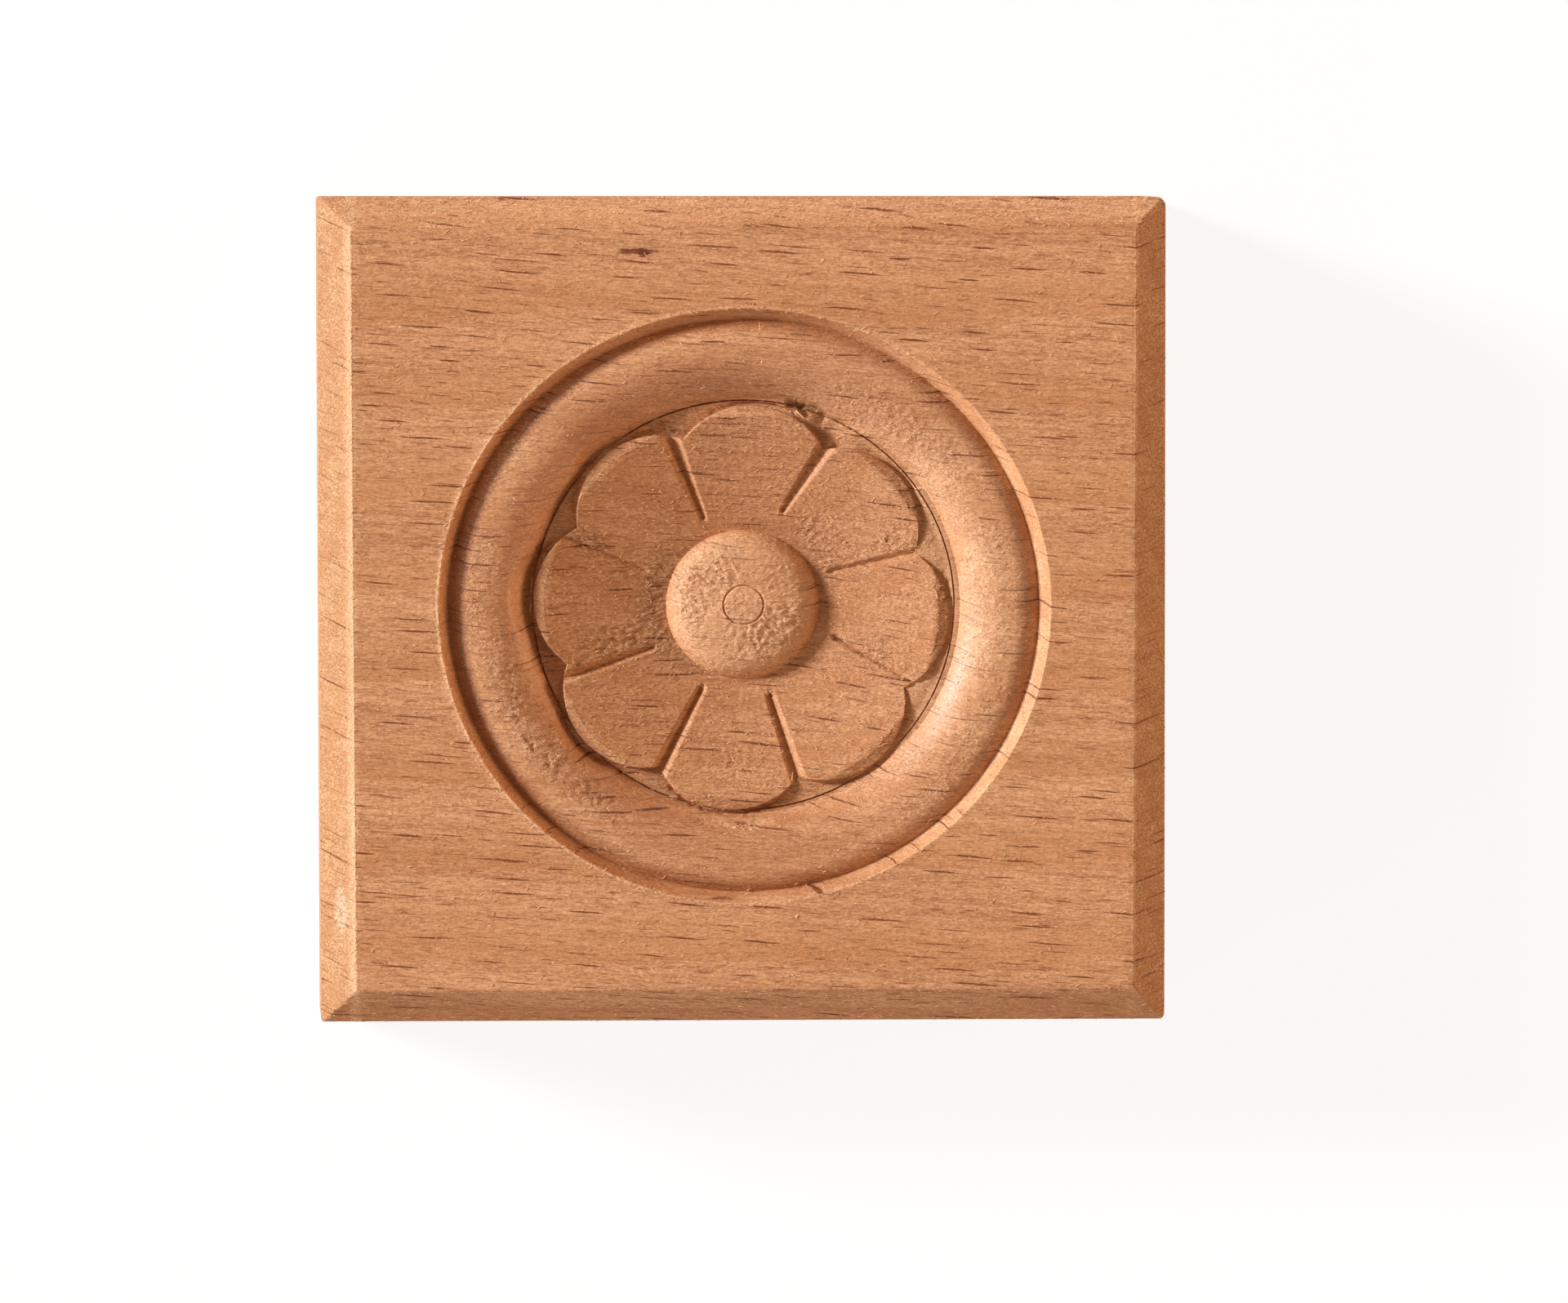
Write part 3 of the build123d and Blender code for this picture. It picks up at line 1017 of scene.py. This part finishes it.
def beechMaterial(grainPlaces, rayFlecks):
    material, tree, shader = newMaterial("beech")
    grain = put(tree, "ShaderNodeGroup", beech["grain"], node_tree=grainPlaces).outputs["Grain"]
    layers = {name: speckle(tree, grain, *layer) for name, layer in figure.items()}
    broad, lint = layers["broad"], layers["lint"]

    tone = 0.0
    for name, low, high, share in streaks:
        tone = addShare(tree, ramp(tree, layers[name], low, high), share, tone)
    tone = addShare(tree, minus(tree, broad, 0.5), beech["broadShare"], tone)
    colour = blend(tree, tone, beech["deep"], beech["pale"])

    # growth rings: a warmer, darker band that ends sharply
    outward = minus(tree, separate(tree, grain)["Z"], beech["ringStart"])
    phase = calc(tree, "DIVIDE", outward, beech["ringSpacing"])
    phase = calc(tree, "FRACT", addShare(tree, broad, beech["ringWaver"], phase))
    band = times(tree, ramp(tree, phase, *beech["ringRise"]), ramp(tree, phase, *beech["ringEnd"]))
    colour = blend(tree, times(tree, band, beech["ringAmount"]), colour, beech["ring"])

    # vessels: short dark scratches along the grain, dots on the end grain
    vessels = ramp(tree, layers["vessels"], *beech["vesselRange"])
    colour = blend(tree, times(tree, vessels, beech["vesselAmount"]), colour, beech["pore"])

    darkest = 0.0
    for layer in rayLayers:
        feeds = {"Grain": grain, **layer}
        amount = feeds.pop("amount")
        flecks = put(tree, "ShaderNodeGroup", feeds, node_tree=rayFlecks).outputs["Mask"]
        darkest = calc(tree, "MAXIMUM", darkest, times(tree, flecks, amount))
    colour = blend(tree, darkest, colour, beech["ray"])

    place = placeInWood(tree)
    frayed = swinging(tree, place, (0.8, 4.0, 1.0), 2)
    for stain in stains:
        colour = blend(tree, stainMask(tree, place, frayed, stain), colour, stain["colour"])

    # sawn surfaces across the grain are deeper in colour and flecked
    normal = put(tree, "ShaderNodeNewGeometry").outputs["Normal"]
    endGrain = ramp(tree, calc(tree, "ABSOLUTE", separate(tree, normal)["X"]), *beech["endGrainRange"])
    sawn = attributeValue(tree, "sawn")
    sawnEnd = times(tree, endGrain, sawn)
    colour = blend(tree, sawnEnd, colour, beech["endGrain"], "MULTIPLY")
    sawMarks = times(tree, sawnEnd, beech["sawMarkAmount"])
    sawMarks = times(tree, ramp(tree, lint, *beech["sawMarkRange"]), sawMarks)
    colour = blend(tree, sawMarks, colour, beech["sawMark"])

    # painted shade darkens the hollows and the shaded sides, and painted light and the wood that broke or
    # stayed rough are pale
    paintedShadingAndPale = attributeValue(tree, "paintedShadingAndPale")
    colour = blend(tree, paintedShadingAndPale, colour, beech["paintedShadeColour"], "MULTIPLY")
    # painted light and pale wood, in the colour of torn wood
    colour = blend(tree, times(tree, paintedShadingAndPale, -1.0, clamp=True), colour, beech["paleWoodAndPaintedLight"])

    # torn wood is rough and full of pale lint, and a little lies everywhere
    tear = attributeValue(tree, "tear")
    specks = addShare(tree, tear, beech["lintWhereTorn"], beech["lint"])
    specks = times(tree, ramp(tree, lint, *beech["lintRange"]), specks, clamp=True)
    colour = blend(tree, specks, colour, beech["paleWoodAndPaintedLight"])

    rise = beech["rise"]
    height = times(tree, vessels, rise["vessels"])
    height = addShare(tree, layers["fine"], rise["fine"], height)
    lumps = addShare(tree, tear, rise["tornLint"], rise["lint"])
    height = addShare(tree, minus(tree, lint, 0.5), lumps, height)
    height = addShare(tree, layers["grit"], addShare(tree, sawn, rise["sawnGrit"], rise["grit"]), height)
    bump = put(tree, "ShaderNodeBump", {"Strength": 1.0, "Distance": beech["bump"] * mm, "Height": height})
    gloss = attributeValue(tree, "gloss")
    matt = beech["roughness"]
    feedAll(tree, shader, {
        "Base Color": colour,
        "Normal": bump.outputs["Normal"],
        "Roughness": addShare(tree, gloss, beech["polished"] - matt, matt),
        "Coat Weight": times(tree, gloss, beech["coat"]),
        "Specular IOR Level": beech["specular"],
        "Coat Roughness": beech["coatRoughness"],
    })
    return material


grainPlaces = grainGroup()
wood = beechMaterial(grainPlaces, rayGroup())
blockMesh.materials.append(wood)
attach(rosette, "root")
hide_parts("rosette_block")


# Fibres are paler than the wood they were torn from
def fibreMaterial(grainPlaces):
    material, tree, shader = newMaterial("tornFibres")
    grain = put(tree, "ShaderNodeGroup", fibres["grain"], node_tree=grainPlaces).outputs["Grain"]
    tone = ramp(tree, speckle(tree, grain, fibres["colourScales"], 2), 0.35, 0.65)
    colour = blend(tree, tone, beech["pale"], fibres["colour"])
    feeds = {"Base Color": colour, "Roughness": fibres["roughness"], "Specular IOR Level": beech["specular"]}
    feedAll(tree, shader, feeds)
    return material


fibreWood = fibreMaterial(grainPlaces)
scatterInputs = {
    "Length": ("Float", fibres["length"] * mm),
    "Width": ("Float", fibres["width"] * mm),
    "Curl": ("Float", fibres["curl"]),
    "Lift": ("Float", math.radians(fibres["lift"])),
    "Swing": ("Float", math.radians(fibres["swing"])),
    "Seed": ("Int", fibres["seed"]),
    "Low": ("Vector", tuple(blockLow)),
    "High": ("Vector", tuple(blockHigh)),
    "Material": ("Material", fibreWood),
}


# Scatters short curled fibres over a surface, as thick as its fuzz attribute says
def fibreTree():
    wood = {"Geometry": "Geometry"}
    kinds = {label: kind for label, (kind, value) in scatterInputs.items()}
    tree, given, made = newGroup("fibreScatter", "GeometryNodeTree", {**wood, **kinds}, wood)
    tree.is_modifier = True

    # one fibre: a bent, tapered line with a three-sided section
    bulge = combine(tree, 0.5, z=given["Curl"])
    feeds = {"Resolution": 2, "Start": (0, 0, 0), "Middle": bulge, "End": (1, 0, 0)}
    line = result(tree, "GeometryNodeCurveQuadraticBezier", feeds)
    along = put(tree, "GeometryNodeSplineParameter").outputs["Factor"]
    thick = addShare(tree, along, -fibres["taper"], 1.0)
    line = result(tree, "GeometryNodeSetCurveRadius", {"Curve": line, "Radius": thick})
    section = result(tree, "GeometryNodeCurvePrimitiveCircle", {"Resolution": 3, "Radius": 0.5})
    feeds = {"Curve": line, "Profile Curve": section, "Fill Caps": True}
    fibre = result(tree, "GeometryNodeCurveToMesh", feeds)

    # the section is as wide as the fibre, and the line as long
    where = result(tree, "GeometryNodeInputPosition")
    x, y, z = separate(tree, where)
    bend = times(tree, times(tree, x, minus(tree, 1.0, x)), given["Curl"])
    bend = times(tree, bend, 2.0)
    side = times(tree, y, given["Width"])
    rise = times(tree, minus(tree, z, bend), given["Width"])
    rise = addShare(tree, bend, given["Length"], rise)
    shaped = combine(tree, times(tree, x, given["Length"]), side, rise)
    fibre = result(tree, "GeometryNodeSetPosition", {"Geometry": fibre, "Position": shaped})

    fuzzy = result(tree, "GeometryNodeInputNamedAttribute", {"Name": "fuzz"}, data_type="FLOAT")
    feeds = {"Mesh": given["Geometry"], "Density": times(tree, fuzzy, 1 / mm**2), "Seed": given["Seed"]}
    spots = put(tree, "GeometryNodeDistributePointsOnFaces", feeds, distribute_method="RANDOM").outputs

    def chance(low, high, step):
        number = calc(tree, "ADD", given["Seed"], float(step))
        node = put(tree, "FunctionNodeRandomValue", {"Seed": number}, data_type="FLOAT")
        for socket in node.inputs:
            if socket.enabled and socket.name in ("Min", "Max"):
                feed(tree, socket, low if socket.name == "Min" else high)
        return node.outputs[1]

    # each lies on the surface near the grain's direction, half of them pointing the other way
    swing = chance(times(tree, given["Swing"], -1.0), given["Swing"], 1)
    half = times(tree, calc(tree, "ROUND", chance(0.0, 1.0, 2)), math.pi)
    heading = combine(tree, z=calc(tree, "ADD", swing, half))
    heading = result(tree, "FunctionNodeEulerToRotation", {0: heading})
    feeds = {"Rotation": heading, "Vector": spots["Normal"]}
    laid = result(tree, "FunctionNodeAlignRotationToVector", feeds, axis="Z")
    lift = times(tree, chance(0.0, given["Lift"], 3), -1.0)
    raised = combine(tree, chance(-fibres["roll"], fibres["roll"], 4), lift)
    raised = result(tree, "FunctionNodeEulerToRotation", {0: raised})
    feeds = {"Rotation": laid, "Rotate By": raised}
    turned = result(tree, "FunctionNodeRotateRotation", feeds, rotation_space="LOCAL")
    sizes = (fibres["lengths"], fibres["widths"], fibres["heights"])
    size = combine(tree, *(chance(*shares, step) for step, shares in enumerate(sizes, 5)))
    feeds = {"Points": spots["Points"], "Instance": fibre, "Rotation": turned, "Scale": size}
    placed = result(tree, "GeometryNodeInstanceOnPoints", feeds)
    whole = result(tree, "GeometryNodeRealizeInstances", {"Geometry": placed})

    # no fibre reaches out of the block's own box
    where = result(tree, "GeometryNodeInputPosition")
    where = vectorCalc(tree, "MINIMUM", where, given["High"])
    where = vectorCalc(tree, "MAXIMUM", where, given["Low"])
    whole = result(tree, "GeometryNodeSetPosition", {"Geometry": whole, "Position": where})
    feeds = {"Geometry": whole, "Material": given["Material"]}
    whole = result(tree, "GeometryNodeSetMaterial", feeds)
    tree.links.new(whole, made["Geometry"])
    return tree


# The place on the wood that a photo pixel looks at, and which way the wood faces there
def seenAt(target, pixel):
    towards = (facePlace(*pixel) - cameraHolder.location).normalized()
    place, normal, index, distance = target.ray_cast(cameraHolder.location, towards)
    return place / mm, normal


# Splinters and chips that stand up: photo pixels, heading from +X, rise, length, width
splinters = rows(
    ("at", "heading", "rise", "length", "width"),
    ((958, 500), -35, 20, 1.5, 0.22),
    ((966, 503), -50, 28, 1.9, 0.2),
    ((975, 502), -62, 15, 1.3, 0.26),
    ((983, 508), -20, 12, 1.0, 0.2),
    ((931, 406), 100, 30, 1.0, 0.1),
    ((932, 447), 80, 20, 0.6, 0.1),
    ((957, 679), 150, 20, 0.8, 0.12),
    ((1122, 678), 115, 25, 0.9, 0.24),
    ((1022, 778), -40, 22, 1.1, 0.16),
    ((1030, 783), -15, 15, 1.2, 0.12),
    ((970, 958), 75, 18, 1.1, 0.18),
    ((976, 952), 110, 24, 0.8, 0.14),
    ((822, 960), -60, 15, 0.9, 0.2),
    ((1135, 1010), 60, 20, 0.8, 0.1),
    ((1207, 655), 140, 18, 0.8, 0.1),
    ((533, 760), 110, 12, 0.9, 0.12),
    ((527, 845), 95, 12, 0.8, 0.12),
    ((943, 853), 85, 16, 0.6, 0.14),
    ((859, 843), 40, 16, 0.5, 0.12),
    ((1112, 690), 20, 18, 0.7, 0.14),
)

blade = {
    "steps": 6,
    "sunk": 0.04,
    "taper": 0.6,
    "thickness": 0.4,
    "uneven": 0.5,
    "unevenScale": 4,
}


# A bent blade of wood that thins to a point, with its root in the surface
def addSplinter(verts, faces, place, normal, shape):
    heading = math.radians(shape["heading"])
    forward = Vector((math.cos(heading), math.sin(heading), 0))
    forward = (forward - normal * forward.dot(normal)).normalized()
    side = normal.cross(forward)
    rise = math.tan(math.radians(shape["rise"]))
    first, steps = len(verts), blade["steps"]
    for step in range(steps):
        share = step / steps
        out = share * shape["length"]
        middle = place + forward * out + normal * (rise * out * (0.5 + share / 2) - blade["sunk"])
        uneven = 1 + blade["uneven"] * noise.noise(middle * blade["unevenScale"])
        wide = shape["width"] / 2 * (1 - share) ** blade["taper"] * uneven
        bulge = normal * wide * blade["thickness"]
        verts.extend((middle + side * wide, middle + bulge, middle - side * wide, middle - bulge))
        if step:
            for k in range(4):
                a, b = first + 4 * (step - 1) + k, first + 4 * (step - 1) + (k + 1) % 4
                faces.append((a, b, b + 4, a + 4))
    verts.append(place + forward * shape["length"] + normal * rise * shape["length"])
    last = first + 4 * (steps - 1)
    faces.extend((last + k, last + (k + 1) % 4, len(verts) - 1) for k in range(4))
    faces.append((first + 3, first + 2, first + 1, first))


def makeSplinters():
    target = BVHTree.FromPolygons(
        [v.co for v in blockMesh.vertices], [tuple(p.vertices) for p in blockMesh.polygons])
    verts, faces = [], []
    for shape in splinters:
        place, normal = seenAt(target, shape["at"])
        addSplinter(verts, faces, place, normal, shape)
    places = np.clip(np.array(verts) * mm, tuple(blockLow), tuple(blockHigh))
    mesh = newMesh("splinters", places.tolist(), faces)
    work = bmesh.new()
    work.from_mesh(mesh)
    bmesh.ops.recalc_face_normals(work, faces=work.faces)
    work.to_mesh(mesh)
    work.free()
    mesh.materials.append(fibreWood)
    mesh.shade_smooth()
    return addObject("splinters", mesh)


raisedSplinters = makeSplinters()
print("splinters", len(splinters), "with", len(raisedSplinters.data.polygons), "faces")
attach(raisedSplinters, "root")


def scatterFibres():
    holder = addObject("fibreHolder", blockMesh)
    modifier = holder.modifiers.new("scatter", "NODES")
    modifier.node_group = fibreTree()
    for item in modifier.node_group.interface.items_tree:
        if item.in_out == "INPUT" and item.name in scatterInputs:
            modifier[item.identifier] = scatterInputs[item.name][1]
    evaluated = holder.evaluated_get(bpy.context.evaluated_depsgraph_get())
    mesh = bpy.data.meshes.new_from_object(evaluated)
    mesh.name = "looseFibres"
    mesh.materials.clear()
    mesh.materials.append(fibreWood)
    mesh.polygons.foreach_set("material_index", np.zeros(len(mesh.polygons), dtype=np.int32))
    holder.modifiers.remove(modifier)
    bpy.data.objects.remove(holder)
    return addObject("looseFibres", mesh)


looseFibres = scatterFibres()
print("fibres", len(looseFibres.data.polygons), "faces", len(looseFibres.data.materials), "materials")
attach(looseFibres, "root")

# Large soft lamps, far away: where they stand and how wide they look, all in degrees
lamps = rows(
    ("name", "azimuth", "elevation", "width", "strength", "colour"),
    ("key", 160, 19.5, 13, 5.4, (0.96, 1.0, 1.04)),
    ("side", 222, 18, 25, 1.1, (1.0, 0.96, 0.92)),
    ("fill", 5, 9, 24, 2.1, (1.0, 0.62, 0.36)),
)
for lamp in lamps:
    light = bpy.data.lights.new(lamp["name"], "SUN")
    light.energy = lamp["strength"]
    light.angle = math.radians(lamp["width"])
    light.color = lamp["colour"]
    holder = addObject(lamp["name"], light)
    turn, rise = math.radians(lamp["azimuth"]), math.radians(lamp["elevation"])
    towards = Vector((math.cos(turn) * math.cos(rise), math.sin(turn) * math.cos(rise), math.sin(rise)))
    holder.location = towards
    holder.rotation_mode = "QUATERNION"
    holder.rotation_quaternion = towards.to_track_quat("Z", "Y")

studio = {
    "sky": (1, 0.68, 0.4, 1),
    "skyStrength": 0.24,
    "white": (1, 1, 1, 1),
    "paper": (0.85, 0.85, 0.85, 1),
    "paperGlow": 1.05,
    "glowShare": 0.85,  # the rest of the floor shows its shadow
    "floorReach": 2.5,
}


# What the camera sees straight, in a reflection or through something
def seenDirectly(tree):
    path = put(tree, "ShaderNodeLightPath").outputs
    seen = calc(tree, "MAXIMUM", path["Is Camera Ray"], path["Is Glossy Ray"])
    return calc(tree, "MAXIMUM", seen, path["Is Transmission Ray"])


def mixed(tree, share, first, second):
    return result(tree, "ShaderNodeMixShader", {0: share, 1: first, 2: second})


world = bpy.data.worlds.new("studio")
bpy.context.scene.world = world
tree = emptyTree(world)
plain = result(tree, "ShaderNodeBackground", {"Color": studio["sky"], "Strength": studio["skyStrength"]})
white = result(tree, "ShaderNodeBackground", {"Color": studio["white"], "Strength": 1.0})
put(tree, "ShaderNodeOutputWorld", {"Surface": mixed(tree, seenDirectly(tree), plain, white)})

paper = bpy.data.materials.new("paper")
tree = emptyTree(paper)
matt = result(tree, "ShaderNodeBsdfDiffuse", {"Color": studio["paper"]})
glow = result(tree, "ShaderNodeEmission", {"Color": studio["white"], "Strength": studio["paperGlow"]})
share = times(tree, seenDirectly(tree), studio["glowShare"])
put(tree, "ShaderNodeOutputMaterial", {"Surface": mixed(tree, share, matt, glow)})

reach = studio["floorReach"]
floorCorners = [(-reach, -reach, 0), (reach, -reach, 0), (reach, reach, 0), (-reach, reach, 0)]
floorMesh = newMesh("floor", floorCorners, [(0, 1, 2, 3)])
floorMesh.materials.append(paper)
floor = addObject("floor", floorMesh)
